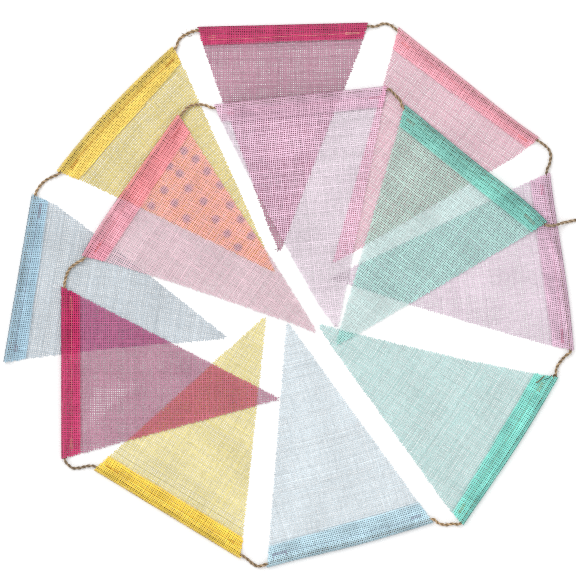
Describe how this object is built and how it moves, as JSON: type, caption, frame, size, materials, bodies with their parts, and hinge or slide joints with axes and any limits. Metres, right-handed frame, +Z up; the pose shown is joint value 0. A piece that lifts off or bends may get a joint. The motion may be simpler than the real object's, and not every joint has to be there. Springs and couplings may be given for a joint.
{
  "type": "fabric bunting",
  "caption": "String of triangular open-weave cloth pennants in pastel and bright colours, their folded hems threaded on jute twine, laid flat in an overlapping spiral.",
  "frame": {"origin": "under the middle of the laid-out string, on the surface it lies on", "axes": "+Z up from the surface; the cloth lies in the XY plane, with the free end of the twine towards +X"},
  "size_m": [0.5374, 0.5122, 0.0089],
  "materials": {
    "teal_cloth": "matte open plain weave",
    "lilac_cloth": "matte open plain weave",
    "coral_cloth": "matte open plain weave",
    "crimson_cloth": "matte open plain weave",
    "yellow_cloth": "matte open plain weave",
    "blue_cloth": "matte open plain weave",
    "jute_twine": "matte twisted fibre"
  },
  "bodies": {
    "root": {"pennant_01_teal": "teal_cloth", "pennant_02_lilac": "lilac_cloth", "pennant_03_coral": "coral_cloth", "pennant_04_crimson": "crimson_cloth", "pennant_05_yellow": "yellow_cloth", "pennant_06_blue": "blue_cloth", "pennant_07_teal": "teal_cloth", "pennant_08_lilac": "lilac_cloth", "pennant_09_coral": "coral_cloth", "pennant_10_crimson": "crimson_cloth", "pennant_11_yellow": "yellow_cloth", "pennant_12_blue": "blue_cloth", "twine": "jute_twine"}
  },
  "joints": []
}
